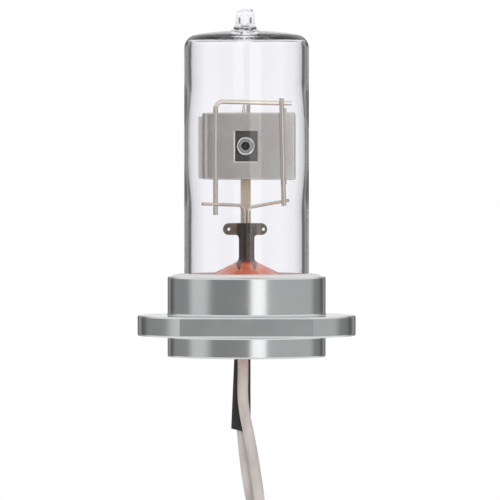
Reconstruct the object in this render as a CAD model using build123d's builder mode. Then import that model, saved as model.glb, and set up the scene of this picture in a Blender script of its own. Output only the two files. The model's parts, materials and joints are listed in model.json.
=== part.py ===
from build123d import *
import os
from math import asin, atan2, cos, hypot, pi, radians, sin, tan

os.makedirs("parts", exist_ok=True)

# Deuterium lamp on an aluminium mounting flange, in millimetres.
# The origin is on the lamp's axis at the flange's upper face, which seats in the lamp house.
# +Z runs up the bulb, and the light leaves towards -Y.

# Aluminium base
collar_diameter = 35.5
collar_above = 8.7  # from the flange's upper face to the top of the collar
collar_below = 9.0  # from the flange's upper face to the underside
flange_diameter = 49.0
flange_thickness = 4.0
flange_across_flats = 39.0
screw_hole_diameter = 3.4
edge_chamfer = 0.4
pocket_depth = 1.5  # pocket floor below the flange's upper face
pocket_clearance = 0.25  # round the bulb
filling_bore_diameter = 21.0
filling_recess = 1.4  # filling's lower face above the underside

# Glass bulb
bulb_diameter = 28.0
bulb_wall = 1.5
window_wall = 0.75  # the blown-out zone in front of the electrodes
window_taper = 5.5
window_blend = 20.0
dome_edge = 63.35  # height of the dome at its rim, before the shoulder is rounded
dome_top = 64.0
dome_thickness = 2.3
crown_radius = 6.5  # the flat middle of the dome, which carries the exhaust tip
shoulder_radius = 3.2
inner_corner_radius = 0.8

# Sealed exhaust tip
tip_x = -0.36
tip_top = 69.0
tip_diameter = 4.2
tip_end_diameter = 4.0
tip_end_fillet = 1.5
tip_foot_radius = 2.6
tip_foot_top = 66.3
tip_bore_diameter = 2.1
tip_end_thickness = 1.4
nub_diameter = 0.8
nub_offset = 1.35  # from the tip's axis
nub_drop = 0.4  # below the tip's top

# Glass stem: rim, skirt, cone, column and press
rim_thickness = 1.2
skirt_clearance = 0.2
stem_wall = 0.9
cone_angle = 26.0  # from the horizontal
column_diameter = 3.5
column_foot = 12.5  # where the cone meets the column
column_foot_fillet = 1.2
skirt_knee_fillet = 1.0
press_top = 20.8
press_width = 9.9
press_height = 2.5
press_thickness = 3.2
press_x = -0.35
press_root_length = 1.0
press_root_fillet = 0.7
press_edge_fillet = 0.45
press_eye_diameter = 0.65
press_eye_spacing = 7.75
press_eye_x = -0.1
seal_clearance = 0.03  # between glass or filling and what is sealed in it
filling_clearance = 0.05

# Electrode stack, from the window side to the back
arc_x = -0.25
arc_height = 38.25
arc_above_bottom = 7.65  # the arc above the ceramic plates' lower edge
body_width = 21.8
body_height = 14.6
body_edge_radius = 0.5
shield_front = -2.7  # y of the shield's front face
shield_depth = 2.6
shield_sheet = 0.3
shield_inset = 0.93  # the shield stops this far inside the ceramic's left edge
shield_above = 0.85
shield_below = 0.15
shield_left_bend = 2.2
shield_right_bend = 0.45
shield_end_bend = 0.35
window_width = 5.05
window_height = 6.9
window_x = -0.05
weld_tab_width = 1.3
weld_tab_height = 1.0
weld_tab_right = 8.95
front_ceramic_thickness = 2.5
rear_ceramic_thickness = 2.5
cover_sheet = 0.3
cover_margin = 0.5
cover_lip = 0.8
aperture_sheet = 0.3
cup_rim_diameter = 4.35
cup_rim_depth = 0.6
cup_tube_diameter = 3.6
cup_wall = 0.25
cup_length = 2.5
funnel_diameter = 2.3
funnel_mouth_diameter = 1.9
funnel_setback = 0.7  # its lip behind the aperture plate's front face
funnel_depth = 1.2
funnel_floor = 0.25
arc_hole_diameter = 0.9
stack_clearance = 0.05
anode_side = 7.6
anode_thickness = 0.5
eyelet_inset_x = 2.5
eyelet_inset_z = 2.0
eyelet_diameter = 1.3
eyelet_bore = 0.8
eyelet_head_diameter = 2.1
eyelet_head_height = 0.25

# Cathode compartment
coil_diameter = 1.4  # to the middle of the wire
coil_wire = 0.22
coil_pitch = 0.7
coil_turns = 6
partition_x = 3.1
partition_sheet = 0.25
partition_foot = 0.9
partition_slot_width = 1.1
partition_slot_height = 5.0
heater_hole_diameter = 1.2
heater_hole_drop = 2.5  # below the coil
heater_groove_depth = 1.0

# Rods, wires and straps
left_rod_diameter = 1.06
right_rod_diameter = 1.04
support_wire_diameter = 0.7
weld_gap = 0.02
left_rod_inset = 3.96  # from the body's left side
left_rod_bottom = 22.65
left_rod_bend = 1.6
cross_wire_above = 2.5  # at the left end, above the shield
cross_wire_fall = 0.4  # from the left end to the right end
cross_wire_short = 0.8  # stops this far inside the shield's right side
right_rod_inset = 3.1  # at the top, from the shield's right side
right_rod_above = 3.15  # above the shield
right_rod_lean = 0.5  # from top to bottom
right_rod_bottom = 24.6
left_support_beyond = 2.71  # free end beyond the left rod
left_support_end_height = 25.19
left_support_elbow = (-1.45, 24.6)
right_support_beyond = 1.2
right_support_end_height = 25.8
right_support_elbow = (1.05, 24.2)
left_seal_x = -0.43
right_seal_x = 0.38
support_seal_y = -0.6
support_bend = 0.6
right_support_depth = 2.2  # the right support is only anchored in the press
strap_width = 2.35
strap_thickness = 0.3
strap_x = -0.2
strap_seal_y = 0.5
heater_seal_y = 1.15
pin_diameter = 0.95
pin_tip_diameter = 0.35
pin_height = 1.75
pin_x = -0.65
tie_width = 0.9
tie_thickness = 0.2
tie_x = 0.4

# Leads, with their sleeve, hank and connector
lead_diameter = 2.4
lead_pitch = 2.95
conductor_diameter = 1.1
conductor_strip = 2.0
crimp_diameter = 2.4
crimp_bore = 1.2
crimp_top = 6.6
crimp_length = 5.6
sleeve_top_width = 3.6
sleeve_bottom_width = 4.4
sleeve_depth = 3.1
sleeve_wall = 0.28
sleeve_corner = 1.4
sleeve_end = -25.7
sleeve_end_angle = 13.0
sleeve_top_x = -0.92
sleeve_bottom_x = -1.3
hank_top = -60.0
hank_clearance = 0.1
hank_bend_radius = 8.8
tie_gap = 0.15
band_thickness = 0.7
band_height = 3.0
band_lock = 3.4
housing_width = 5.6
housing_length = 14.0
housing_wall = 0.9
housing_fillet = 0.4
socket_side = 2.0
socket_depth = 8.0
entry_depth = 3.0
contact_wall = 0.2
contact_length = 5.0
latch_height = 0.8
latch_length = 3.0

# Levels and radii worked out from the sizes above
bulb_radius = bulb_diameter / 2
pocket_floor = -pocket_depth
rim_top = pocket_floor + rim_thickness
bulb_bore_radius = bulb_radius - bulb_wall
window_bore_radius = bulb_radius - window_wall
screw_spacing = (flange_diameter + collar_diameter) / 2  # midway between the collar and the round edge
body_bottom = arc_height - arc_above_bottom
dome_inside = dome_top - dome_thickness
tip_radius = tip_diameter / 2
tip_end_radius = tip_end_diameter / 2
tip_root = (dome_edge + dome_inside) / 2
body_top = body_bottom + body_height
shield_left = -body_width / 2 + shield_inset
shield_right = body_width / 2
shield_top = body_top + shield_above
shield_bottom = body_bottom - shield_below
shield_centre = ((shield_left + shield_right) / 2, (shield_top + shield_bottom) / 2)
cross_wire_left = shield_top + cross_wire_above
cross_wire_right = cross_wire_left - cross_wire_fall
right_rod_top = shield_top + right_rod_above
left_rod_x = left_rod_inset - body_width / 2
right_rod_top_x = shield_right - right_rod_inset
right_rod_bottom_x = right_rod_top_x + right_rod_lean
cross_wire_end = shield_right - cross_wire_short
left_support_end = (left_rod_x - left_support_beyond, left_support_end_height)
right_support_end = (right_rod_bottom_x + right_support_beyond, right_support_end_height)
eyelet_spacing_x = body_width - 2 * eyelet_inset_x
eyelet_spacing_z = body_height - 2 * eyelet_inset_z
coil_x = (partition_x + partition_sheet + eyelet_spacing_x / 2 - eyelet_head_diameter / 2) / 2
ceramic_front = shield_front + shield_depth
ceramic_joint = ceramic_front + front_ceramic_thickness
ceramic_back = ceramic_joint + rear_ceramic_thickness
aperture_front = ceramic_front - aperture_sheet
aperture_plate_width = shield_right - shield_left - 2 * (shield_sheet + stack_clearance)
aperture_plate_height = shield_top - shield_bottom - 2 * (shield_sheet + stack_clearance)
coil_y = (shield_front + shield_sheet + aperture_front) / 2
left_rod_y = shield_front - left_rod_diameter / 2 - weld_gap
right_rod_y = shield_front - right_rod_diameter / 2 - weld_gap
filling_bottom = -collar_below + filling_recess
crimp_bottom = crimp_top - crimp_length
column_radius = column_diameter / 2
skirt_radius = bulb_bore_radius - skirt_clearance
skirt_bore_radius = skirt_radius - stem_wall


def cone_outside(radius):
    """Height of the stem cone's outer face at a radius."""
    return column_foot - (radius - column_radius) * tan(radians(cone_angle))


def cone_inside(radius):
    """Height of the stem cone's inner face at a radius."""
    return cone_outside(radius) - stem_wall / cos(radians(cone_angle))


def round_wire(points, radii, diameter):
    """A round wire or tube along straight runs joined by arcs."""
    with BuildPart() as wire:
        with BuildLine() as route:
            FilletPolyline(*points, radius=radii)
        with BuildSketch(Plane(origin=route.line @ 0, z_dir=route.line % 0)):
            Circle(diameter / 2)
        sweep()
    return wire.part


def cord_radii(points):
    """The largest arcs that a free cord's runs leave room for."""
    radii = []
    for before, corner, after in zip(points, points[1:], points[2:]):
        run_in, run_out = Vector(corner) - Vector(before), Vector(after) - Vector(corner)
        half_turn = radians(run_in.get_angle(run_out)) / 2
        radii.append(0.45 * min(run_in.length, run_out.length) / tan(half_turn))
    return radii


# Base: a turned collar and flange with two flats, two screw holes and a stepped bore
with BuildPart() as base_flange:
    with BuildSketch(Plane.XY.offset(-collar_below)):
        Circle(collar_diameter / 2)
    extrude(amount=collar_below + collar_above)
    chamfer(base_flange.edges().group_by(Axis.Z)[0] + base_flange.edges().group_by(Axis.Z)[-1], edge_chamfer)
    with BuildPart(mode=Mode.PRIVATE) as flange:
        with BuildSketch(Plane.XY.offset(-flange_thickness)):
            Circle(flange_diameter / 2)
            Rectangle(flange_diameter, flange_across_flats, mode=Mode.INTERSECT)
        extrude(amount=flange_thickness)
        chamfer(flange.edges().group_by(Axis.Z)[0] + flange.edges().group_by(Axis.Z)[-1], edge_chamfer)
    add(flange.part)
    with BuildSketch(Plane.XY):
        with GridLocations(screw_spacing, 0, 2, 1):
            Circle(screw_hole_diameter / 2)
    extrude(amount=-flange_thickness, mode=Mode.SUBTRACT)
    with BuildSketch(Plane.XY.offset(pocket_floor)):
        Circle(bulb_radius + pocket_clearance)
    extrude(amount=pocket_depth + collar_above, mode=Mode.SUBTRACT)
    with BuildSketch(Plane.XY.offset(-collar_below)):
        Circle(filling_bore_diameter / 2)
    extrude(amount=collar_below, mode=Mode.SUBTRACT)
base_flange.part.label = "base_flange"
export_step(base_flange.part, "parts/base_flange.step")

# Bulb: one blown tube with a thinned window zone, a shallow dome and the sealed exhaust tip
with BuildPart() as glass_bulb:
    with BuildSketch(Plane.XZ) as wall:
        with BuildLine():
            Polyline(
                (bulb_radius, rim_top),
                (bulb_radius, dome_edge),
                (crown_radius, dome_top),
                (0, dome_top),
                (0, dome_inside),
                (bulb_bore_radius, dome_inside),
                (bulb_bore_radius, body_top + window_taper),
                (window_bore_radius, body_top),
                (window_bore_radius, body_bottom),
                (bulb_bore_radius, body_bottom - window_taper),
                (bulb_bore_radius, rim_top),
                close=True,
            )
        make_face()
        fillet(wall.vertices().sort_by_distance((bulb_radius, dome_edge))[0], shoulder_radius)
        fillet(wall.vertices().sort_by_distance((bulb_bore_radius, dome_inside))[0], inner_corner_radius)
        for corner in (
            (bulb_bore_radius, body_top + window_taper),
            (window_bore_radius, body_top),
            (window_bore_radius, body_bottom),
            (bulb_bore_radius, body_bottom - window_taper),
        ):
            fillet(wall.vertices().sort_by_distance(corner)[0], window_blend)
    revolve(axis=Axis.Z)
    tip_axis = Axis((tip_x, 0, 0), (0, 0, 1))
    with BuildSketch(Plane(origin=(tip_x, 0, 0), x_dir=(1, 0, 0), z_dir=(0, -1, 0))) as tip_half:
        with BuildLine():
            root = (tip_radius + tip_foot_radius, tip_foot_top - tip_foot_radius)
            CenterArc((root[0], tip_foot_top), tip_foot_radius, 180, 90)
            Polyline(root, (root[0], tip_root), (0, tip_root), (0, tip_top))
            Polyline((0, tip_top), (tip_end_radius, tip_top), (tip_radius, tip_foot_top))
        make_face()
        fillet(tip_half.vertices().sort_by_distance((tip_end_radius, tip_top))[0], tip_end_fillet)
    revolve(axis=tip_axis)
    with BuildSketch(Plane.XY.offset(dome_inside)):
        with Locations((tip_x, 0)):
            Circle(tip_bore_diameter / 2)
    extrude(amount=tip_top - tip_end_thickness - dome_inside, mode=Mode.SUBTRACT)
    with Locations((tip_x + nub_offset, 0, tip_top - nub_drop)):
        Sphere(nub_diameter / 2)
glass_bulb.part.label = "glass_bulb"
export_step(glass_bulb.part, "parts/glass_bulb.step")

# Routes of the wires that are sealed in the stem, from their inner ends to the crimps
support_wire_radius = support_wire_diameter / 2
crimp_entry = crimp_top - conductor_strip
wire_fan_top = cone_inside(column_radius) - support_wire_diameter
wire_fan_bottom = crimp_top + support_wire_diameter * 2


def support_y(rod_x, rod_y, rod_diameter, side, elbow_x, elbow_y, x):
    """Depth, at x, of a straight support wire from its elbow that just clears a rod on one side."""
    apart = rod_diameter / 2 + support_wire_radius + weld_gap
    across, back = abs(rod_x - elbow_x), rod_y - elbow_y
    heading = atan2(back, across) + side * asin(apart / hypot(across, back))
    return elbow_y + abs(x - elbow_x) * tan(heading)


def right_rod_x(height):
    """Place of the leaning right rod at a height."""
    share = (height - right_rod_bottom) / (right_rod_top - right_rod_bottom)
    return right_rod_bottom_x + (right_rod_top_x - right_rod_bottom_x) * share


left_elbow_y = support_seal_y - support_bend
left_end_y = support_y(
    left_rod_x, left_rod_y, left_rod_diameter, -1, left_support_elbow[0], left_elbow_y, left_support_end[0]
)
right_end_y = support_y(
    right_rod_x(right_support_end[1]),
    right_rod_y,
    right_rod_diameter,
    1,
    right_support_elbow[0],
    support_seal_y,
    right_support_end[0],
)
left_support_points = [
    (left_support_end[0], left_end_y, left_support_end[1]),
    (left_support_elbow[0], left_elbow_y, left_support_elbow[1]),
    (left_seal_x, support_seal_y, left_support_elbow[1] - 1.0),
    (left_seal_x, support_seal_y, wire_fan_top),
    (sleeve_top_x, -lead_pitch, wire_fan_bottom),
    (sleeve_top_x, -lead_pitch, crimp_entry),
]
left_support_radii = [support_bend, support_bend, support_bend, support_bend]
right_support_points = [
    (right_support_end[0], right_end_y, right_support_end[1]),
    (right_support_elbow[0], support_seal_y, right_support_elbow[1]),
    (right_seal_x, support_seal_y, right_support_elbow[1] - 0.8),
    (right_seal_x, support_seal_y, press_top - right_support_depth),
]
right_support_radii = [support_bend, support_bend / 2]
strap_y = ceramic_joint + anode_thickness + strap_thickness / 2
strap_points = [
    (strap_x, strap_y, arc_height),
    (strap_x, strap_y, body_bottom - strap_thickness),
    (strap_x, strap_seal_y, press_top + strap_thickness * 3),
    (strap_x, strap_seal_y, wire_fan_top),
]
strap_radii = [strap_thickness * 4, strap_thickness * 4]
heater_y = ceramic_back - heater_groove_depth / 2
coil_bottom = arc_height - coil_pitch * coil_turns / 2
heater_hole_height = coil_bottom - heater_hole_drop
heater_top = coil_bottom - coil_wire / 2 - weld_gap
heater_x = coil_x + coil_diameter / 2
heater_points = [
    (heater_x, coil_y, heater_top),
    (heater_x, coil_y, heater_hole_height),
    (heater_x, heater_y, heater_hole_height),
    (strap_x, heater_y, heater_hole_height),
    (strap_x, heater_y, body_bottom - strap_thickness),
    (strap_x, heater_seal_y, press_top + strap_thickness * 2),
    (strap_x, heater_seal_y, wire_fan_top),
    (sleeve_top_x, lead_pitch, wire_fan_bottom),
    (sleeve_top_x, lead_pitch, crimp_entry),
]
heater_radii = [support_bend] * 7


def flat_strap(points, radii, width, thickness):
    """A flat strap with its width along X, bent in the YZ plane."""
    with BuildPart() as strap:
        with BuildLine() as route:
            FilletPolyline(*points, radius=radii)
        with BuildSketch(Plane(origin=route.line @ 0, x_dir=(1, 0, 0), z_dir=route.line % 0)):
            Rectangle(width, thickness)
        sweep()
    return strap.part


strap_tail_points = [
    (sleeve_top_x, strap_seal_y, wire_fan_top + strap_thickness),
    (sleeve_top_x, strap_seal_y, wire_fan_top - strap_width),
    (sleeve_top_x, 0, wire_fan_top - strap_width - strap_seal_y * 2),
    (sleeve_top_x, 0, crimp_entry),
]
strap_tail_radii = [strap_thickness, strap_thickness]
strap_tail_width = crimp_bore * 0.7

# Stem: one glass piece whose skirt is sealed to the bulb's rim and whose press holds the wires
press_slot_centre = (press_x, press_top - press_height / 2)
with BuildPart() as press:
    with BuildSketch(Plane.XZ):
        with Locations(press_slot_centre):
            SlotOverall(press_width, press_height)
    extrude(amount=press_thickness / 2, both=True)
    ends = press.faces().filter_by(Axis.Y)
    fillet([edge for face in ends for edge in face.edges()], press_edge_fillet)
    with BuildSketch(Plane.XZ) as root:
        root_bottom = press_top - press_height - press_root_length
        with Locations(press_slot_centre):
            SlotOverall(press_width, press_height)
        with Locations((0, (press_top - press_height / 2 + root_bottom) / 2)):
            Rectangle(column_diameter, press_top - press_height / 2 - root_bottom)
        for side in (-1, 1):
            notch = (side * column_radius, press_top - press_height)
            fillet(root.vertices().sort_by_distance(notch)[0], press_root_fillet)
    extrude(amount=press_thickness / 2 - press_edge_fillet, both=True)
    with BuildSketch(Plane.XZ):
        with Locations((press_eye_x, press_slot_centre[1])):
            with GridLocations(press_eye_spacing, 0, 2, 1):
                Circle(press_eye_diameter / 2)
    extrude(amount=press_thickness, both=True, mode=Mode.SUBTRACT)

with BuildPart() as glass_stem:
    with BuildSketch(Plane.XZ) as profile:
        with BuildLine():
            Polyline(
                (skirt_bore_radius, pocket_floor),
                (bulb_radius, pocket_floor),
                (bulb_radius, rim_top),
                (skirt_radius, rim_top),
                (skirt_radius, cone_outside(skirt_radius)),
                (column_radius, column_foot),
                (column_radius, press_top),
                (0, press_top),
                (0, cone_inside(0)),
                (skirt_bore_radius, cone_inside(skirt_bore_radius)),
                close=True,
            )
        make_face()
        fillet(profile.vertices().sort_by_distance((column_radius, column_foot))[0], column_foot_fillet)
        knee = (skirt_radius, cone_outside(skirt_radius))
        fillet(profile.vertices().sort_by_distance(knee)[0], skirt_knee_fillet)
    revolve(axis=Axis.Z)
    add(press.part)
    sealed = support_wire_diameter + 2 * seal_clearance
    add(round_wire(left_support_points, left_support_radii, sealed), mode=Mode.SUBTRACT)
    right_hole = right_support_points[:-1] + [
        (right_seal_x, support_seal_y, press_top - right_support_depth - seal_clearance)
    ]
    add(round_wire(right_hole, right_support_radii, sealed), mode=Mode.SUBTRACT)
    add(round_wire(heater_points, heater_radii, sealed), mode=Mode.SUBTRACT)
    add(
        flat_strap(strap_points, strap_radii, strap_width + 2 * seal_clearance, strap_thickness + 2 * seal_clearance),
        mode=Mode.SUBTRACT,
    )
glass_stem.part.label = "glass_stem"
export_step(glass_stem.part, "parts/glass_stem.step")

# Wires of the stem
with BuildPart() as left_support_wire:
    add(round_wire(left_support_points, left_support_radii, support_wire_diameter))
left_support_wire.part.label = "left_support_wire"
export_step(left_support_wire.part, "parts/left_support_wire.step")

with BuildPart() as right_support_wire:
    add(round_wire(right_support_points, right_support_radii, support_wire_diameter))
right_support_wire.part.label = "right_support_wire"
export_step(right_support_wire.part, "parts/right_support_wire.step")

with BuildPart() as heater_wire:
    add(round_wire(heater_points, heater_radii, support_wire_diameter))
heater_wire.part.label = "heater_wire"
export_step(heater_wire.part, "parts/heater_wire.step")

with BuildPart() as anode_strap:
    add(flat_strap(strap_points, strap_radii, strap_width, strap_thickness))
    add(flat_strap(strap_tail_points, strap_tail_radii, strap_tail_width, strap_thickness))
anode_strap.part.label = "anode_strap"
export_step(anode_strap.part, "parts/anode_strap.step")

# Front shield: a drawn nickel tray over the cathode compartment, with the window and two weld tabs
with BuildPart() as front_shield:
    with BuildSketch(Plane.XZ.offset(-shield_front)):
        with Locations(shield_centre):
            Rectangle(shield_right - shield_left, shield_top - shield_bottom)
    extrude(amount=-shield_depth)
    upright = front_shield.edges().filter_by(Axis.Z).group_by(Axis.Y)[0].sort_by(Axis.X)
    fillet(upright[0], shield_left_bend)
    fillet(front_shield.edges().filter_by(Axis.Z).group_by(Axis.X)[-1].sort_by(Axis.Y)[0], shield_right_bend)
    level = front_shield.edges().filter_by(Axis.X).group_by(Axis.Y)[0]
    fillet(level, shield_end_bend)
    offset(amount=-shield_sheet, openings=front_shield.faces().sort_by(Axis.Y)[-1])
    with BuildSketch(Plane.XZ.offset(-shield_front)):
        with Locations((window_x, arc_height)):
            Rectangle(window_width, window_height)
    extrude(amount=-2 * shield_sheet, mode=Mode.SUBTRACT)
    tab_overlap = shield_end_bend + shield_sheet
    with BuildSketch(Plane.XZ.offset(-shield_front - shield_end_bend)):
        with Locations((weld_tab_right - weld_tab_width / 2, (shield_top + shield_bottom) / 2)):
            Rectangle(weld_tab_width, shield_top - shield_bottom + 2 * weld_tab_height)
            Rectangle(weld_tab_width, shield_top - shield_bottom - 2 * shield_sheet, mode=Mode.SUBTRACT)
    extrude(amount=-shield_sheet)
front_shield.part.label = "front_shield"
export_step(front_shield.part, "parts/front_shield.step")

# Ceramic plates: the front one carries the aperture, the rear one holds the anode and the heater wire
body_centre = (body_bottom + body_top) / 2
eyelet_centre = (0, body_centre)

with BuildPart() as front_ceramic:
    with BuildSketch(Plane.XZ.offset(-ceramic_front)):
        with Locations((0, body_centre)):
            Rectangle(body_width, body_height)
    extrude(amount=-front_ceramic_thickness)
    fillet(front_ceramic.edges().filter_by(Axis.Z).group_by(Axis.Y)[0], body_edge_radius)
    with BuildSketch(Plane.XZ.offset(-ceramic_front)):
        with Locations((arc_x, arc_height)):
            Circle(cup_tube_diameter / 2 + stack_clearance)
        with Locations((heater_x, heater_hole_height)):
            Circle(heater_hole_diameter / 2)
        with Locations(eyelet_centre):
            with GridLocations(eyelet_spacing_x, eyelet_spacing_z, 2, 2):
                Circle(eyelet_diameter / 2 + stack_clearance)
    extrude(amount=-front_ceramic_thickness, mode=Mode.SUBTRACT)
front_ceramic.part.label = "front_ceramic"
export_step(front_ceramic.part, "parts/front_ceramic.step")

with BuildPart() as rear_ceramic:
    with BuildSketch(Plane.XZ.offset(-ceramic_joint)):
        with Locations((0, body_centre)):
            Rectangle(body_width, body_height)
    extrude(amount=-rear_ceramic_thickness)
    fillet(rear_ceramic.edges().filter_by(Axis.Z).group_by(Axis.Y)[-1], body_edge_radius)
    with BuildSketch(Plane.XZ.offset(-ceramic_joint)):
        with Locations((heater_x, heater_hole_height)):
            Circle(heater_hole_diameter / 2)
        with Locations(eyelet_centre):
            with GridLocations(eyelet_spacing_x, eyelet_spacing_z, 2, 2):
                Circle(eyelet_diameter / 2 + stack_clearance)
    extrude(amount=-rear_ceramic_thickness, mode=Mode.SUBTRACT)
    anode_pocket = anode_side + 2 * stack_clearance
    with BuildSketch(Plane.XZ.offset(-ceramic_joint)):
        with Locations((arc_x, arc_height)):
            Rectangle(anode_pocket, anode_pocket)
        with Locations((strap_x, body_bottom)):
            Rectangle(strap_width + 4 * stack_clearance, 2 * (arc_height - body_bottom))
    extrude(amount=-(anode_thickness + strap_thickness + stack_clearance), mode=Mode.SUBTRACT)
    groove = heater_hole_diameter
    with BuildSketch(Plane.XZ.offset(-ceramic_back)):
        with Locations((strap_x, body_bottom)):
            Rectangle(groove, 2 * (heater_hole_height + groove / 2 - body_bottom))
        with Locations(((strap_x + heater_x) / 2, heater_hole_height)):
            Rectangle(heater_x - strap_x + groove, groove)
    extrude(amount=heater_groove_depth, mode=Mode.SUBTRACT)
rear_ceramic.part.label = "rear_ceramic"
export_step(rear_ceramic.part, "parts/rear_ceramic.step")

# Rear cover: a nickel sheet with folded lips at top and bottom
with BuildPart() as rear_cover:
    cover_width = body_width - 2 * cover_margin
    cover_height = body_height - 2 * cover_margin
    with BuildSketch(Plane.XZ.offset(-ceramic_back)):
        with Locations((0, body_centre)):
            Rectangle(cover_width, cover_height)
    extrude(amount=-cover_sheet)
    with BuildSketch(Plane.XZ.offset(-ceramic_back - cover_sheet)):
        with Locations((0, body_centre)):
            with GridLocations(0, cover_height - cover_sheet, 1, 2):
                Rectangle(cover_width, cover_sheet)
    extrude(amount=-cover_lip)
    with BuildSketch(Plane.XZ.offset(-ceramic_back)):
        with Locations(eyelet_centre):
            with GridLocations(eyelet_spacing_x, eyelet_spacing_z, 2, 2):
                Circle(eyelet_diameter / 2 + stack_clearance)
        with Locations((strap_x, body_bottom + cover_margin)):
            Rectangle(2 * heater_hole_diameter, 2 * heater_hole_diameter)
    extrude(amount=-(cover_sheet + cover_lip), mode=Mode.SUBTRACT)
rear_cover.part.label = "rear_cover"
export_step(rear_cover.part, "parts/rear_cover.step")

# Aperture plate on the front ceramic, with its cup and, inside that, the funnel that narrows the arc
with BuildPart() as aperture_plate:
    with BuildSketch(Plane.XZ.offset(-aperture_front)):
        with Locations(shield_centre):
            Rectangle(aperture_plate_width, aperture_plate_height)
        with Locations((arc_x, arc_height)):
            Circle(cup_tube_diameter / 2 + stack_clearance, mode=Mode.SUBTRACT)
        with Locations((heater_x, heater_hole_height)):
            Circle(heater_hole_diameter, mode=Mode.SUBTRACT)
        with Locations(eyelet_centre):
            with GridLocations(eyelet_spacing_x, eyelet_spacing_z, 2, 2):
                Circle(eyelet_diameter / 2 + stack_clearance, mode=Mode.SUBTRACT)
    extrude(amount=-aperture_sheet)
aperture_plate.part.label = "aperture_plate"
export_step(aperture_plate.part, "parts/aperture_plate.step")

arc_axis = Axis((arc_x, 0, arc_height), (0, 1, 0))
arc_plane = Plane(origin=(arc_x, 0, arc_height), x_dir=(1, 0, 0), z_dir=(0, 0, 1))

with BuildPart() as aperture_cup:
    rim_front = aperture_front - cup_rim_depth
    tube_radius = cup_tube_diameter / 2
    with BuildSketch(arc_plane) as section:
        with BuildLine():
            Polyline(
                (tube_radius - cup_wall, rim_front),
                (cup_rim_diameter / 2, rim_front),
                (cup_rim_diameter / 2, aperture_front),
                (tube_radius, aperture_front),
                (tube_radius, aperture_front + cup_length),
                (tube_radius - cup_wall, aperture_front + cup_length),
                close=True,
            )
        make_face()
        front_corners = section.vertices().group_by(Axis.Y)[0]
        fillet(front_corners, cup_rim_depth * 0.45)
    revolve(axis=arc_axis)
aperture_cup.part.label = "aperture_cup"
export_step(aperture_cup.part, "parts/aperture_cup.step")

with BuildPart() as arc_funnel:
    funnel_radius = funnel_diameter / 2
    throat_radius = arc_hole_diameter / 2
    floor_radius = tube_radius - cup_wall - stack_clearance
    mouth_y = aperture_front + funnel_setback
    floor_y = mouth_y + funnel_depth
    with BuildSketch(arc_plane):
        with BuildLine():
            Polyline(
                (floor_radius, floor_y),
                (funnel_radius, floor_y),
                (funnel_radius, mouth_y),
                (funnel_mouth_diameter / 2, mouth_y),
                (throat_radius, floor_y),
                (throat_radius, floor_y + funnel_floor),
                (floor_radius, floor_y + funnel_floor),
                close=True,
            )
        make_face()
    revolve(axis=arc_axis)
arc_funnel.part.label = "arc_funnel"
export_step(arc_funnel.part, "parts/arc_funnel.step")

with BuildPart() as anode_plate:
    with BuildSketch(Plane.XZ.offset(-ceramic_joint)):
        with Locations((arc_x, arc_height)):
            Rectangle(anode_side, anode_side)
    extrude(amount=-anode_thickness)
anode_plate.part.label = "anode_plate"
export_step(anode_plate.part, "parts/anode_plate.step")

# Four hollow eyelets hold the stack together
with BuildPart() as stack_eyelets:
    stack_back = ceramic_back + cover_sheet
    with BuildSketch(Plane.XZ.offset(-aperture_front)):
        with Locations(eyelet_centre):
            with GridLocations(eyelet_spacing_x, eyelet_spacing_z, 2, 2):
                Circle(eyelet_diameter / 2)
    extrude(amount=-(stack_back - aperture_front))
    for face, way in ((aperture_front, 1), (stack_back, -1)):
        with BuildSketch(Plane.XZ.offset(-face)):
            with Locations(eyelet_centre):
                with GridLocations(eyelet_spacing_x, eyelet_spacing_z, 2, 2):
                    Circle(eyelet_head_diameter / 2)
        extrude(amount=way * eyelet_head_height)
    with BuildSketch(Plane.XZ.offset(-aperture_front + eyelet_head_height)):
        with Locations(eyelet_centre):
            with GridLocations(eyelet_spacing_x, eyelet_spacing_z, 2, 2):
                Circle(eyelet_bore / 2)
    extrude(amount=-(stack_back - aperture_front + 2 * eyelet_head_height), mode=Mode.SUBTRACT)
stack_eyelets.part.label = "stack_eyelets"
export_step(stack_eyelets.part, "parts/stack_eyelets.step")

# Cathode: a coiled filament between the heater wire and its post, behind a slotted partition
with BuildPart() as cathode_coil:
    with BuildLine() as turns:
        Helix(
            pitch=coil_pitch,
            height=coil_pitch * coil_turns,
            radius=coil_diameter / 2,
            center=(coil_x, coil_y, coil_bottom),
        )
    with BuildSketch(Plane(origin=turns.line @ 0, z_dir=turns.line % 0)):
        Circle(coil_wire / 2)
    sweep(is_frenet=True)
cathode_coil.part.label = "cathode_coil"
export_step(cathode_coil.part, "parts/cathode_coil.step")

with BuildPart() as cathode_post:
    post_bottom = coil_bottom + coil_pitch * coil_turns + coil_wire / 2 + weld_gap
    with BuildSketch(Plane.XY.offset(post_bottom)):
        with Locations((heater_x, coil_y)):
            Circle(support_wire_radius)
    extrude(amount=shield_top - shield_sheet - post_bottom)
cathode_post.part.label = "cathode_post"
export_step(cathode_post.part, "parts/cathode_post.step")

with BuildPart() as cathode_partition:
    partition_depth = aperture_front - shield_front - shield_sheet - 2 * stack_clearance
    with BuildSketch(Plane.YZ.offset(partition_x)):
        with Locations((coil_y, shield_centre[1])):
            Rectangle(partition_depth, aperture_plate_height)
        with Locations((coil_y, arc_height)):
            Rectangle(partition_slot_width, partition_slot_height, mode=Mode.SUBTRACT)
    extrude(amount=partition_sheet)
    with BuildSketch(Plane.XZ.offset(-aperture_front)):
        foot_left = partition_x - partition_foot
        with Locations(((foot_left + partition_x + partition_sheet) / 2, shield_centre[1] + aperture_plate_height / 3)):
            Rectangle(partition_foot + partition_sheet, aperture_plate_height / 5)
    extrude(amount=partition_sheet)
cathode_partition.part.label = "cathode_partition"
export_step(cathode_partition.part, "parts/cathode_partition.step")

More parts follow.
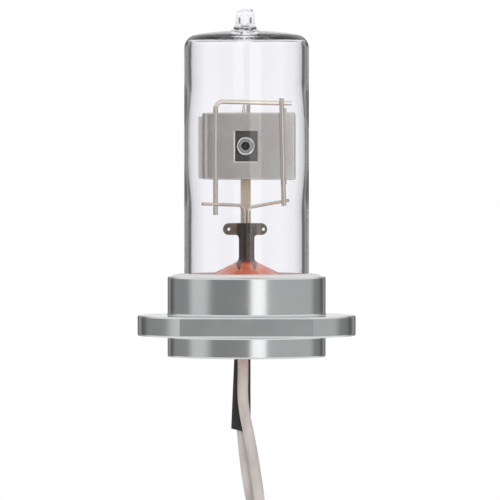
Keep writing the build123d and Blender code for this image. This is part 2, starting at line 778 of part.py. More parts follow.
# Support rods: the left one turns over into the cross wire, the right one leans a little
cross_wire_back = right_rod_y + right_rod_diameter / 2 + left_rod_diameter / 2 + weld_gap
cross_run = right_rod_x(cross_wire_right) - left_rod_x
cross_end_y = left_rod_y + (cross_wire_back - left_rod_y) * (cross_wire_end - left_rod_x) / cross_run
with BuildPart() as left_rod:
    add(
        round_wire(
            [
                (left_rod_x, left_rod_y, left_rod_bottom),
                (left_rod_x, left_rod_y, cross_wire_left),
                (cross_wire_end, cross_end_y, cross_wire_right),
            ],
            [left_rod_bend],
            left_rod_diameter,
        )
    )
left_rod.part.label = "left_rod"
export_step(left_rod.part, "parts/left_rod.step")

with BuildPart() as right_rod:
    with BuildLine() as lean:
        Line((right_rod_bottom_x, right_rod_y, right_rod_bottom), (right_rod_top_x, right_rod_y, right_rod_top))
    with BuildSketch(Plane(origin=lean.line @ 0, z_dir=lean.line % 0)):
        Circle(right_rod_diameter / 2)
    sweep()
right_rod.part.label = "right_rod"
export_step(right_rod.part, "parts/right_rod.step")

# Small pieces between the shield's top and the cross wire
with BuildPart() as top_pin:
    pin_y = shield_front + pin_diameter
    with BuildSketch(Plane.XY.offset(shield_top)):
        with Locations((pin_x, pin_y)):
            Circle(pin_diameter / 2)
    with BuildSketch(Plane.XY.offset(shield_top + pin_height)):
        with Locations((pin_x, pin_y)):
            Circle(pin_tip_diameter / 2)
    loft()
top_pin.part.label = "top_pin"
export_step(top_pin.part, "parts/top_pin.step")

with BuildPart() as tie_ribbon:
    slope = (cross_wire_right - cross_wire_left) / (cross_wire_end - left_rod_x)
    wire_height = cross_wire_left + slope * (tie_x - left_rod_x)
    ribbon_top = wire_height - left_rod_diameter / 2 - weld_gap
    ribbon_y = left_rod_y + (cross_wire_back - left_rod_y) * (tie_x - left_rod_x) / cross_run
    with BuildSketch(Plane.XY.offset(shield_top)):
        with Locations((tie_x, max(ribbon_y, shield_front + shield_end_bend + tie_thickness))):
            Rectangle(tie_width, tie_thickness)
    extrude(amount=ribbon_top - shield_top)
tie_ribbon.part.label = "tie_ribbon"
export_step(tie_ribbon.part, "parts/tie_ribbon.step")

# Routes of the three leads, from the crimps to the top of the hank
hank_x = 4.5
lead_straight = 5.0
front_lead_points = [
    (sleeve_top_x, -lead_pitch, crimp_bottom),
    (sleeve_top_x, -lead_pitch, crimp_bottom - lead_straight),
    (-0.75, -lead_pitch, -11.5),
    (-0.97, -lead_pitch, -19.6),
    (1.2, -lead_pitch, -29.5),
    (2.9, -lead_pitch, -41.0),
    (hank_x, -lead_pitch, hank_top + lead_straight),
    (hank_x, -lead_pitch, hank_top),
]
sleeved_lead_points = [
    (sleeve_top_x, 0, crimp_bottom),
    (sleeve_top_x, 0, crimp_bottom - lead_straight),
    (-0.98, 0, -10.5),
    (-1.2, 0, -18.5),
    (-1.0, 0, -27.5),
    (0.75, 0, -41.0),
    (hank_x, 0, hank_top + lead_straight),
    (hank_x, 0, hank_top),
]
rear_lead_points = [
    (sleeve_top_x, lead_pitch, crimp_bottom),
    (sleeve_top_x, lead_pitch, crimp_bottom - lead_straight),
    (-1.02, lead_pitch, -11.0),
    (-0.85, lead_pitch, -19.0),
    (0.1, lead_pitch, -28.5),
    (1.85, lead_pitch, -41.0),
    (hank_x, lead_pitch, hank_top + lead_straight),
    (hank_x, lead_pitch, hank_top),
]


def lead(points):
    """A lead's tube with the stripped conductor at its upper end."""
    radii = cord_radii(points)
    print("lead radii", [round(radius, 1) for radius in radii])
    with BuildPart() as tube:
        add(round_wire(points, radii, lead_diameter))
        with BuildSketch(Plane.XY.offset(points[0][2])):
            with Locations((points[0][0], points[0][1])):
                Circle(conductor_diameter / 2)
        extrude(amount=conductor_strip)
    with BuildLine() as route:
        FilletPolyline(*points, radius=radii)
    section = pi * (lead_diameter / 2) ** 2
    stub = pi * (conductor_diameter / 2) ** 2 * conductor_strip
    print("lead volume over section times length", round((tube.part.volume - stub) / (section * route.wire().length), 4))
    print("lead length", round(route.wire().length, 1))
    return tube.part


with BuildPart() as front_lead:
    add(lead(front_lead_points))
front_lead.part.label = "front_lead"
export_step(front_lead.part, "parts/front_lead.step")

with BuildPart() as sleeved_lead:
    add(lead(sleeved_lead_points))
sleeved_lead.part.label = "sleeved_lead"
export_step(sleeved_lead.part, "parts/sleeved_lead.step")

with BuildPart() as rear_lead:
    add(lead(rear_lead_points))
rear_lead.part.label = "rear_lead"
export_step(rear_lead.part, "parts/rear_lead.step")

# Crimps that join the wires to the leads inside the filling
with BuildPart() as lead_crimps:
    with BuildSketch(Plane.XY.offset(crimp_bottom)):
        with Locations((sleeve_top_x, -lead_pitch), (sleeve_top_x, 0), (sleeve_top_x, lead_pitch)):
            Circle(crimp_diameter / 2)
            Circle(crimp_bore / 2, mode=Mode.SUBTRACT)
    extrude(amount=crimp_length)
lead_crimps.part.label = "lead_crimps"
export_step(lead_crimps.part, "parts/lead_crimps.step")

# Red silicone filling inside the stem's cone and the base's bore
with BuildPart() as silicone_filling:
    filling_radius = filling_bore_diameter / 2 - filling_clearance
    with BuildSketch(Plane.XZ):
        with BuildLine():
            Polyline(
                (0, filling_bottom),
                (filling_radius, filling_bottom),
                (filling_radius, cone_inside(filling_radius) - filling_clearance),
                (0, cone_inside(0) - filling_clearance),
                close=True,
            )
        make_face()
    revolve(axis=Axis.Z)
    cast_round = 2 * seal_clearance
    with BuildSketch(Plane.XY.offset(crimp_bottom)):
        with Locations((sleeve_top_x, -lead_pitch), (sleeve_top_x, 0), (sleeve_top_x, lead_pitch)):
            Circle(crimp_diameter / 2 + seal_clearance)
    extrude(amount=crimp_length + seal_clearance, mode=Mode.SUBTRACT)
    for points in (front_lead_points, sleeved_lead_points, rear_lead_points):
        add(round_wire(points[:3], cord_radii(points[:3]), lead_diameter + cast_round), mode=Mode.SUBTRACT)
    add(round_wire(left_support_points, left_support_radii, support_wire_diameter + cast_round), mode=Mode.SUBTRACT)
    add(round_wire(heater_points, heater_radii, support_wire_diameter + cast_round), mode=Mode.SUBTRACT)
    add(
        flat_strap(strap_points, strap_radii, strap_width + cast_round, strap_thickness + cast_round),
        mode=Mode.SUBTRACT,
    )
    add(
        flat_strap(strap_tail_points, strap_tail_radii, strap_tail_width + cast_round, strap_thickness + cast_round),
        mode=Mode.SUBTRACT,
    )
silicone_filling.part.label = "silicone_filling"
export_step(silicone_filling.part, "parts/silicone_filling.step")

# Black sleeve on the middle lead, pushed up against the filling and cut at a slant
with BuildPart() as black_sleeve:
    sleeve_low = sleeve_end - sleeve_bottom_width
    reach = (sleeve_low - filling_bottom) / (sleeve_end - filling_bottom)
    low_width = sleeve_top_width + (sleeve_bottom_width - sleeve_top_width) * reach
    low_x = sleeve_top_x + (sleeve_bottom_x - sleeve_top_x) * reach
    for wall, mode in ((0, Mode.ADD), (sleeve_wall, Mode.SUBTRACT)):
        with BuildSketch(Plane.XY.offset(filling_bottom)):
            with Locations((sleeve_top_x, 0)):
                RectangleRounded(sleeve_top_width - 2 * wall, sleeve_depth - 2 * wall, sleeve_corner - wall)
        with BuildSketch(Plane.XY.offset(sleeve_low)):
            with Locations((low_x, 0)):
                RectangleRounded(low_width - 2 * wall, sleeve_depth - 2 * wall, sleeve_corner - wall)
        loft(mode=mode)
    slant = radians(sleeve_end_angle)
    split(bisect_by=Plane(origin=(sleeve_bottom_x, 0, sleeve_end), z_dir=(sin(slant), 0, cos(slant))), keep=Keep.TOP)
black_sleeve.part.label = "black_sleeve"
export_step(black_sleeve.part, "parts/black_sleeve.step")

# Hank: the unseen lead length, folded once in line with the lamp, as one solid of its outer shape
tie_height = -76.0
leg_straight = 4.0
leg_x = (2.0, 4.9)
bend_centre = (3.4, -103.0)
connector_x = -2.6
hank_points = [
    (hank_x, 0, hank_top),
    (hank_x, 0, hank_top - lead_straight),
    (leg_x[1], 0, tie_height + leg_straight),
    (leg_x[1], 0, tie_height - leg_straight),
    (8.9, 0, -91.0),
]
for step in range(7):
    angle = radians(-6 - 28 * step)
    hank_points.append(
        (bend_centre[0] + hank_bend_radius * cos(angle), 0, bend_centre[1] + hank_bend_radius * sin(angle))
    )
hank_points += [
    (-2.0, 0, -91.0),
    (leg_x[0], 0, tie_height - leg_straight),
    (leg_x[0], 0, tie_height + leg_straight),
    (connector_x, 0, hank_top - lead_straight),
    (connector_x, 0, hank_top),
]
hank_radii = cord_radii(hank_points)
print("hank radii", [round(radius, 1) for radius in hank_radii])
hank_depth = 2 * lead_pitch + lead_diameter + 2 * hank_clearance
hank_thickness = lead_diameter + 2 * hank_clearance

with BuildPart() as lead_hank:
    with BuildLine() as fold:
        FilletPolyline(*hank_points, radius=hank_radii)
    with BuildSketch(Plane(origin=fold.line @ 0, x_dir=(0, 1, 0), z_dir=fold.line % 0)):
        RectangleRounded(hank_depth, hank_thickness, lead_diameter / 2)
    sweep()
print("hank length", round(fold.wire().length, 1))
lead_hank.part.label = "lead_hank"
export_step(lead_hank.part, "parts/lead_hank.step")

# Tie round both legs of the hank
with BuildPart() as hank_tie:
    band_x = sum(leg_x) / 2
    inner_width = leg_x[1] - leg_x[0] + hank_thickness + 2 * tie_gap
    inner_depth = hank_depth + 2 * tie_gap
    with BuildSketch(Plane.XY.offset(tie_height - band_height / 2)):
        with Locations((band_x, 0)):
            RectangleRounded(
                inner_width + 2 * band_thickness, inner_depth + 2 * band_thickness, lead_diameter / 2 + band_thickness
            )
            RectangleRounded(inner_width, inner_depth, lead_diameter / 2, mode=Mode.SUBTRACT)
    extrude(amount=band_height)
    with BuildSketch(Plane.XY.offset(tie_height - band_lock / 2)):
        with Locations((band_x, -inner_depth / 2 - band_lock / 2)):
            Rectangle(band_lock, band_lock)
    extrude(amount=band_lock)
hank_tie.part.label = "hank_tie"
export_step(hank_tie.part, "parts/hank_tie.step")

# Connector: a three-way housing with its contacts, on the end of the leads
housing_depth = 2 * lead_pitch + socket_side + 2 * housing_wall
housing_top = hank_top + housing_length
with BuildPart() as connector_housing:
    with BuildSketch(Plane.XY.offset(hank_top)):
        with Locations((connector_x, 0)):
            Rectangle(housing_width, housing_depth)
    extrude(amount=housing_length)
    fillet(connector_housing.edges().filter_by(Axis.Z), housing_fillet)
    chamfer(connector_housing.faces().sort_by(Axis.Z)[-1].edges(), housing_fillet / 2)
    with BuildSketch(Plane.YZ.offset(connector_x - housing_width / 2)):
        with BuildLine():
            Polyline(
                (-latch_length, housing_top - latch_length),
                (latch_length, housing_top - latch_length),
                (latch_length, housing_top - 2 * latch_length),
                (-latch_length, housing_top - 2 * latch_length),
                close=True,
            )
        make_face()
    extrude(amount=-latch_height, taper=30)
    with BuildSketch(Plane.XY.offset(housing_top)):
        with Locations((connector_x, 0)):
            with GridLocations(0, lead_pitch, 1, 3):
                Rectangle(socket_side, socket_side)
    extrude(amount=-socket_depth, mode=Mode.SUBTRACT)
    with BuildSketch(Plane.XY.offset(hank_top)):
        with Locations((connector_x, 0)):
            with GridLocations(0, lead_pitch, 1, 3):
                Circle(lead_diameter / 2 + hank_clearance)
    extrude(amount=entry_depth, mode=Mode.SUBTRACT)
connector_housing.part.label = "connector_housing"
export_step(connector_housing.part, "parts/connector_housing.step")

with BuildPart() as connector_contacts:
    contact_side = socket_side - 2 * stack_clearance
    with BuildSketch(Plane.XY.offset(housing_top - socket_depth)):
        with Locations((connector_x, 0)):
            with GridLocations(0, lead_pitch, 1, 3):
                Rectangle(contact_side, contact_side)
                Rectangle(contact_side - 2 * contact_wall, contact_side - 2 * contact_wall, mode=Mode.SUBTRACT)
    extrude(amount=contact_length)
connector_contacts.part.label = "connector_contacts"
export_step(connector_contacts.part, "parts/connector_contacts.step")
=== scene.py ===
import bpy
import json
from math import cos, pi, radians, sin, tan
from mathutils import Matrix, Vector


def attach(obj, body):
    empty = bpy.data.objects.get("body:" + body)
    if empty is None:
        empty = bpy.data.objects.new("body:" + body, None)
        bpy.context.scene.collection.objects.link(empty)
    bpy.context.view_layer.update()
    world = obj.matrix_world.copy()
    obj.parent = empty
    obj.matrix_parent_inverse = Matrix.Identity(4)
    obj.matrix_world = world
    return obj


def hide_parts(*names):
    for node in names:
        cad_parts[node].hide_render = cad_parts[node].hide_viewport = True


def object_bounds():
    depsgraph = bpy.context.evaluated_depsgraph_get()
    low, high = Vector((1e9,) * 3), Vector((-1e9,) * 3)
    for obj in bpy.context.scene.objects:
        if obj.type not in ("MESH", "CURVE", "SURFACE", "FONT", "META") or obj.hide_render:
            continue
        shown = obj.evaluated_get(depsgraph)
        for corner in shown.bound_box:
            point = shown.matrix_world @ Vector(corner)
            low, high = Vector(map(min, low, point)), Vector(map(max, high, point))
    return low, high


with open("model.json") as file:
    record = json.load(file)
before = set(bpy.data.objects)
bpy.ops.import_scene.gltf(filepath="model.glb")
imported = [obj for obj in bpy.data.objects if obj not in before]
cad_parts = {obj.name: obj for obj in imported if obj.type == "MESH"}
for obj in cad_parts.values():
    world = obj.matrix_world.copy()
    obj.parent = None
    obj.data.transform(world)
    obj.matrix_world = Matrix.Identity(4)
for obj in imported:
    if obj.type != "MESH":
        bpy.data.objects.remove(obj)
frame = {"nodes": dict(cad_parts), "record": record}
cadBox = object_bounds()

mm = 0.001
print("frame loaded,", len(frame["nodes"]), "nodes")


# small helpers

def srgb(code):  # a hex colour as linear numbers
    parts = [int(code[i:i + 2], 16) / 255 for i in (1, 3, 5)]
    return [c / 12.92 if c <= 0.04045 else ((c + 0.055) / 1.055) ** 2.4 for c in parts] + [1]


def addNode(tree, kind, inputs=None, output=0, to=None, **settings):  # gives the new node's output socket
    node = tree.nodes.new(kind)
    for name, value in settings.items():
        setattr(node, name, value)
    for name, value in (inputs or {}).items():
        if isinstance(value, bpy.types.NodeSocket):
            tree.links.new(value, node.inputs[name])
        else:
            node.inputs[name].default_value = value
    if to:
        tree.links.new(node.outputs[output], to)
    return node.outputs[output]


def newMaterial(name, **values):  # fixed values are set on the shader's own sockets
    material = bpy.data.materials.new(name)
    material.use_nodes = True
    tree = material.node_tree
    surface = tree.nodes["Principled BSDF"].inputs
    for key, value in values.items():
        surface[key.replace("_", " ")].default_value = value
    return material, tree, surface, addNode(tree, "ShaderNodeTexCoord", output="Object")


def grain(tree, where, size, detail=3, stretch=(1, 1, 1)):  # a noise pattern with a grain of that many mm
    placed = addNode(tree, "ShaderNodeMapping", {"Vector": where, "Scale": stretch})
    return addNode(tree, "ShaderNodeTexNoise", {"Vector": placed, "Scale": 1 / (size * mm), "Detail": detail})


def finishSurface(tree, surface, colour, relief, strength, depth):  # the depth of the relief is in mm
    tree.links.new(colour, surface["Base Color"])
    addNode(tree, "ShaderNodeBump", {"Height": relief, "Strength": strength, "Distance": depth * mm},
            to=surface["Normal"])


def finishMesh(name, vertices, faces, smooth=True):
    mesh = bpy.data.meshes.new(name)
    mesh.from_pydata([[c * mm for c in v] for v in vertices], [], faces)
    mesh.polygons.foreach_set("use_smooth", [smooth] * len(mesh.polygons))
    mesh.update()
    piece = bpy.data.objects.new(name, mesh)
    bpy.context.scene.collection.objects.link(piece)
    return piece


def dress(piece, material):
    piece.data.materials.clear()
    piece.data.materials.append(material)
    return piece


def circle(radius, turns):
    return [(radius * cos(2 * pi * i / turns), radius * sin(2 * pi * i / turns)) for i in range(turns)]


# camera: the photograph's frame, nearly level with the lamp and far off

view = {
    "centre": (0.76, 0.0, 14.9), "width": 112.3, "distance": 1500.0, "elevation": 1.0,
    "sensor": 36.0, "near": 50.0, "far": 20000.0,
}


def makeCamera():
    data = bpy.data.cameras.new("camera")
    data.sensor_width = view["sensor"]
    data.lens = view["sensor"] * view["distance"] / view["width"]
    data.clip_start, data.clip_end = view["near"] * mm, view["far"] * mm
    camera = bpy.data.objects.new("camera", data)
    bpy.context.scene.collection.objects.link(camera)
    tilt = radians(view["elevation"])
    x, y, z = view["centre"]
    camera.location = [
        x * mm, (y - view["distance"] * cos(tilt)) * mm, (z + view["distance"] * sin(tilt)) * mm]
    camera.rotation_euler = (pi / 2 - tilt, 0, 0)
    bpy.context.scene.camera = camera


makeCamera()


# leads: their free length hangs from the base, is folded once and ends in the connector

lead = {"diameter": 2.4, "pitch": 2.95, "length": 178.0, "exitHeight": -9.0, "roundness": 8, "fineness": 16}
sleeveTopX = -0.92
leadRoutes = {
    "front": [(sleeveTopX, 1.0), (sleeveTopX, -4.0), (-0.75, -11.5), (-0.97, -19.6), (1.2, -29.5),
              (2.9, -41.0), (4.5, -55.0)],
    "middle": [(sleeveTopX, 1.0), (sleeveTopX, -4.0), (-0.98, -10.5), (-1.2, -18.5), (-1.0, -27.5),
               (0.75, -41.0), (4.5, -55.0)],
    "rear": [(sleeveTopX, 1.0), (sleeveTopX, -4.0), (-1.02, -11.0), (-0.85, -19.0), (0.1, -28.5),
             (1.85, -41.0), (4.5, -55.0)],
}
leadPlaces = {"front": -1, "middle": 0, "rear": 1}
fold = {
    "down": [(4.5, -60.0), (4.5, -65.0), (4.9, -72.0), (4.9, -80.0), (8.9, -91.0)],
    "centre": (3.4, -103.0), "radius": 8.8, "points": 7, "start": -6, "step": -28,
    "up": [(-2.0, -91.0), (2.0, -80.0), (2.0, -72.0), (-2.6, -65.0), (-2.6, -60.0)],
}


def foldRoute():
    x, z = fold["centre"]
    turn = [radians(fold["start"] + fold["step"] * index) for index in range(fold["points"])]
    loop = [(x + fold["radius"] * cos(angle), z + fold["radius"] * sin(angle)) for angle in turn]
    return fold["down"] + loop + fold["up"]


def makeLead(name):
    curve = bpy.data.curves.new(name + "Lead", "CURVE")
    curve.dimensions = "3D"
    curve.bevel_depth = lead["diameter"] / 2 * mm
    curve.bevel_resolution = lead["roundness"]
    curve.resolution_u = lead["fineness"]
    curve.use_fill_caps = True
    route = leadRoutes[name] + foldRoute()
    spline = curve.splines.new("NURBS")
    spline.points.add(len(route) - 1)
    depth = leadPlaces[name] * lead["pitch"]
    for point, (x, z) in zip(spline.points, route):
        point.co = (x * mm, depth * mm, z * mm, 1)
    spline.order_u = 3
    spline.use_endpoint_u = True
    piece = bpy.data.objects.new(name + "_lead_wire", curve)
    bpy.context.scene.collection.objects.link(piece)
    return piece


leads = {name: makeLead(name) for name in leadRoutes}
print("leads made")


# materials, each named for what the real one is and how it was made

def turnedAluminium():  # bare aluminium off the lathe: pale, with fine rings that stretch the highlights
    material, tree, surface, where = newMaterial("turnedAluminium", Metallic=1.0)
    x, y, z = addNode(tree, "ShaderNodeSeparateXYZ", {"Vector": where}).node.outputs
    level = addNode(tree, "ShaderNodeCombineXYZ", {"X": x, "Y": y, "Z": 0.0})
    radius = addNode(tree, "ShaderNodeVectorMath", {0: level}, "Value", operation="LENGTH")
    unrolled = addNode(tree, "ShaderNodeCombineXYZ", {"X": radius, "Y": 0.0, "Z": z})
    rings = grain(tree, unrolled, 0.12, detail=4)
    cloud = grain(tree, where, 6.0)
    rough = addNode(tree, "ShaderNodeMath", {0: rings, 1: 0.08, 2: 0.13}, operation="MULTIPLY_ADD")
    addNode(tree, "ShaderNodeMath", {0: cloud, 1: 0.05, 2: rough}, to=surface["Roughness"],
            operation="MULTIPLY_ADD")
    colour = addNode(tree, "ShaderNodeMix", {
        "Factor": cloud, "A": srgb("#cdd0d2"), "B": srgb("#d9d9d8")}, 2, data_type="RGBA")
    finishSurface(tree, surface, colour, rings, 0.12, 0.01)
    return material


def clearGlass(name, **values):  # lets shadow and diffuse rays through, because nothing focuses light here
    material, tree, surface, where = newMaterial(name, Transmission_Weight=1.0, **values)
    path = addNode(tree, "ShaderNodeLightPath").node.outputs
    unseen = addNode(tree, "ShaderNodeMath", {
        0: path["Is Shadow Ray"], 1: path["Is Diffuse Ray"]}, operation="MAXIMUM")
    through = addNode(tree, "ShaderNodeBsdfTransparent", {"Color": (0.97, 0.97, 0.975, 1)})
    addNode(tree, "ShaderNodeMixShader", {0: unseen, 1: tree.nodes["Principled BSDF"].outputs[0], 2: through},
            to=tree.nodes["Material Output"].inputs["Surface"])
    return material, tree, surface, where


def quartzTube():  # fire-polished quartz: clear, with faint draw lines up the tube
    material, tree, surface, where = clearGlass(
        "quartzTube", Base_Color=srgb("#fdfdff"), IOR=1.458, Roughness=0.0)
    waves = grain(tree, where, 5.0, detail=1, stretch=(1, 1, 0.12))
    addNode(tree, "ShaderNodeBump", {"Height": waves, "Strength": 0.12, "Distance": 0.05 * mm},
            to=surface["Normal"])
    addNode(tree, "ShaderNodeVolumeAbsorption", {"Color": srgb("#c9c7d6"), "Density": 22.0},
            to=tree.nodes["Material Output"].inputs["Volume"])
    return material


smoke = {  # heights on the stem, and distances from its middle to either side, which bound a band of painted shade on the column's flanks
    "low": 11.9, "high": 12.7, "wander": 0.6,
    "sideShadeReach": 1.5, "sideShadeStart": 1.0, "sideShadeFull": 1.6, "sideShadeFade": 1.9, "sideShadeEnd": 2.5,
}


def smokedStem():  # lead-free glass, clear at the skirt and burnt brown where it was pressed on the wires; painted shade darkens the column's left and right flanks and reaches lower there
    material, tree, surface, where = clearGlass("smokedStem", IOR=1.5, Roughness=0.02)
    place = addNode(tree, "ShaderNodeSeparateXYZ", {"Vector": where}).node.outputs
    # painted shade: a band either side of the middle, on the column's left and right flanks, darkens the
    # brown and brings it lower onto the cone
    side = addNode(tree, "ShaderNodeMath", {0: place["X"]}, operation="ABSOLUTE")
    near = addNode(tree, "ShaderNodeMapRange", {
        "Value": side, "From Min": smoke["sideShadeStart"] * mm, "From Max": smoke["sideShadeFull"] * mm},
        interpolation_type="SMOOTHSTEP")
    far = addNode(tree, "ShaderNodeMapRange", {
        "Value": side, "From Min": smoke["sideShadeFade"] * mm, "From Max": smoke["sideShadeEnd"] * mm,
        "To Min": 1.0, "To Max": 0.0}, interpolation_type="SMOOTHSTEP")
    foot = addNode(tree, "ShaderNodeMath", {0: near, 1: far}, operation="MULTIPLY")
    wander = addNode(tree, "ShaderNodeMath", {
        0: grain(tree, where, 2.0), 1: smoke["wander"] * mm, 2: place["Z"]}, operation="MULTIPLY_ADD")
    reach = addNode(tree, "ShaderNodeMath", {
        0: foot, 1: smoke["sideShadeReach"] * mm, 2: wander}, operation="MULTIPLY_ADD")
    smoked = addNode(tree, "ShaderNodeMapRange", {
        "Value": reach, "From Min": smoke["low"] * mm, "From Max": smoke["high"] * mm},
        interpolation_type="SMOOTHSTEP")
    streaks = grain(tree, where, 0.9, detail=4, stretch=(1, 1, 0.5))
    brown = addNode(tree, "ShaderNodeMix", {
        "Factor": streaks, "A": srgb("#231810"), "B": srgb("#8c765f")}, 2, data_type="RGBA")
    # the band of painted shade turns the brown darker at the column's flanks
    brown = addNode(tree, "ShaderNodeMix", {
        "Factor": foot, "A": brown, "B": srgb("#1d130c")}, 2, data_type="RGBA")
    colour = addNode(tree, "ShaderNodeMix", {
        "Factor": smoked, "A": srgb("#fbf7f4"), "B": brown}, 2, data_type="RGBA")
    finishSurface(tree, surface, colour, grain(tree, where, 1.1), 0.6, 0.12)
    return material


def castSilicone():  # filled red silicone: matte, faintly mottled, with pinholes
    material, tree, surface, where = newMaterial(
        "castSilicone", Roughness=0.5, Specular_IOR_Level=0.4, Subsurface_Weight=0.15,
        Subsurface_Scale=0.6 * mm)
    mottle = addNode(tree, "ShaderNodeMapRange", {
        "Value": grain(tree, where, 1.6, detail=5), "From Min": 0.3, "From Max": 0.7},
        interpolation_type="SMOOTHSTEP")
    colour = addNode(tree, "ShaderNodeMix", {
        "Factor": mottle, "A": srgb("#f0643a"), "B": srgb("#ff9068")}, 2, data_type="RGBA")
    finishSurface(tree, surface, colour, grain(tree, where, 0.35, detail=4), 0.3, 0.05)
    return material


def rolledNickel(name="rolledNickel", dark="#c6c4bd", pale="#dddbd4", stain="#cdc7c2",
                 stretch=(1, 1, 12), rough=0.26, bump=0.1):
    # annealed nickel strip: soft grey with fine rolling lines and faint heat stains
    material, tree, surface, where = newMaterial(name, Metallic=1.0)
    lines = grain(tree, where, 0.25, stretch=stretch)
    fired = addNode(tree, "ShaderNodeMapRange", {
        "Value": grain(tree, where, 4.0), "From Min": 0.3, "From Max": 0.75}, interpolation_type="SMOOTHSTEP")
    shade = addNode(tree, "ShaderNodeMix", {
        "Factor": lines, "A": srgb(dark), "B": srgb(pale)}, 2, data_type="RGBA")
    colour = addNode(tree, "ShaderNodeMix", {
        "Factor": fired, "A": shade, "B": srgb(stain)}, 2, data_type="RGBA")
    addNode(tree, "ShaderNodeMath", {0: lines, 1: 0.12, 2: rough - 0.06}, to=surface["Roughness"],
            operation="MULTIPLY_ADD")
    finishSurface(tree, surface, colour, lines, bump, 0.02)
    return material


punched = {  # the window in the box's front, with the width and the depth of its rolled edge
    "x": -0.05, "z": 38.25, "width": 5.05, "height": 6.9, "roll": 0.32, "depth": 0.05, "fade": 0.2,
}


def outsideSpan(tree, value, middle, width):  # how far a place lies outside a span, in metres
    offset = addNode(tree, "ShaderNodeMath", {0: value, 1: middle * mm}, operation="SUBTRACT")
    size = addNode(tree, "ShaderNodeMath", {0: offset}, operation="ABSOLUTE")
    return addNode(tree, "ShaderNodeMath", {0: size, 1: width / 2 * mm}, operation="SUBTRACT")


def punchedNickel():  # the box's front: the punch rolled its window's left and lower edges, which catch light
    p = punched
    material = rolledNickel("punchedNickel")
    tree = material.node_tree
    surface = tree.nodes["Principled BSDF"].inputs
    where = addNode(tree, "ShaderNodeTexCoord", output="Object")
    place = addNode(tree, "ShaderNodeSeparateXYZ", {"Vector": where}).node.outputs
    away = addNode(tree, "ShaderNodeMath", {
        0: outsideSpan(tree, place["X"], p["x"], p["width"]),
        1: outsideSpan(tree, place["Z"], p["z"], p["height"])}, operation="MAXIMUM")
    dip = addNode(tree, "ShaderNodeMapRange", {
        "Value": away, "From Min": 0.0, "From Max": p["roll"] * mm, "To Min": 1.0, "To Max": 0.0},
        interpolation_type="SMOOTHSTEP")
    for along, end in ((place["X"], p["x"] + p["width"] / 2), (place["Z"], p["z"] + p["height"] / 2)):
        share = addNode(tree, "ShaderNodeMapRange", {
            "Value": along, "From Min": (end - p["fade"]) * mm, "From Max": end * mm,
            "To Min": 1.0, "To Max": 0.0}, interpolation_type="SMOOTHSTEP")
        dip = addNode(tree, "ShaderNodeMath", {0: dip, 1: share}, operation="MULTIPLY")
    height = addNode(tree, "ShaderNodeMath", {0: 1.0, 1: dip}, operation="SUBTRACT")
    lines = surface["Normal"].links[0].from_socket
    addNode(tree, "ShaderNodeBump", {
        "Height": height, "Strength": 1.0, "Distance": p["depth"] * mm, "Normal": lines},
        to=surface["Normal"])
    return material


def drawnWire():  # nickel wire through a die: lengthwise scratches, warm and pale from the firing
    return rolledNickel("drawnWire", "#cdc4b8", "#f6eee1", "#e0d7ca", (6, 6, 0.4), 0.12, 0.03)


def firedCeramic():  # pressed alumina: matte cream with a fine grain and a few grey specks
    material, tree, surface, where = newMaterial("firedCeramic", Roughness=0.6, Specular_IOR_Level=0.4)
    fine = grain(tree, where, 0.3, detail=5)
    specks = addNode(tree, "ShaderNodeMapRange", {
        "Value": grain(tree, where, 0.8, detail=2), "From Min": 0.66, "From Max": 0.72},
        interpolation_type="SMOOTHSTEP")
    body = addNode(tree, "ShaderNodeMix", {
        "Factor": fine, "A": srgb("#d2cbc5"), "B": srgb("#e0dad4")}, 2, data_type="RGBA")
    colour = addNode(tree, "ShaderNodeMix", {
        "Factor": specks, "A": body, "B": srgb("#a89f97")}, 2, data_type="RGBA")
    finishSurface(tree, surface, colour, fine, 0.2, 0.03)
    return material


def shadePaintedMolybdenum():  # grey sheet, satin from stamping and firing, its grey painted darker for the shade it sits in behind the box's window
    return rolledNickel("shadePaintedMolybdenum", "#4d4e4b", "#6b6b67", "#575755", (1, 1, 1), 0.3)


def bakedStrap():  # strap with a matte beige skin from the baking, so it shines less than the box
    material, tree, surface, where = newMaterial("bakedStrap", Metallic=0.2, Roughness=0.5)
    skin = grain(tree, where, 1.5, detail=4, stretch=(1, 1, 0.3))
    colour = addNode(tree, "ShaderNodeMix", {
        "Factor": skin, "A": srgb("#cbb9a3"), "B": srgb("#e0d3c0")}, 2, data_type="RGBA")
    finishSurface(tree, surface, colour, skin, 0.1, 0.02)
    return material


def highlightPaintedRim():  # the aperture cup is spun metal; it wears a pale copy of the aperture metal, painted highlight so that its rims read white
    return rolledNickel("highlightPaintedRim", "#e2e0dc", "#f4f2ee", "#e6e4e0", (1, 1, 1), 0.12, 0.03)


def pottingCement():  # off-white cement, matte and slightly sandy
    material, tree, surface, where = newMaterial("pottingCement", Roughness=0.7, Specular_IOR_Level=0.3)
    sand = grain(tree, where, 0.25, detail=4)
    colour = addNode(tree, "ShaderNodeMix", {
        "Factor": sand, "A": srgb("#f4f3f0"), "B": srgb("#fdfcfa")}, 2, data_type="RGBA")
    finishSurface(tree, surface, colour, sand, 0.2, 0.03)
    return material


def coatedTungsten():  # coil wire with its white emitter coat
    material, tree, surface, where = newMaterial("coatedTungsten", Roughness=0.8)
    crust = grain(tree, where, 0.12, detail=4)
    colour = addNode(tree, "ShaderNodeMix", {
        "Factor": crust, "A": srgb("#a8a49d"), "B": srgb("#e6e3dc")}, 2, data_type="RGBA")
    finishSurface(tree, surface, colour, crust, 0.6, 0.03)
    return material


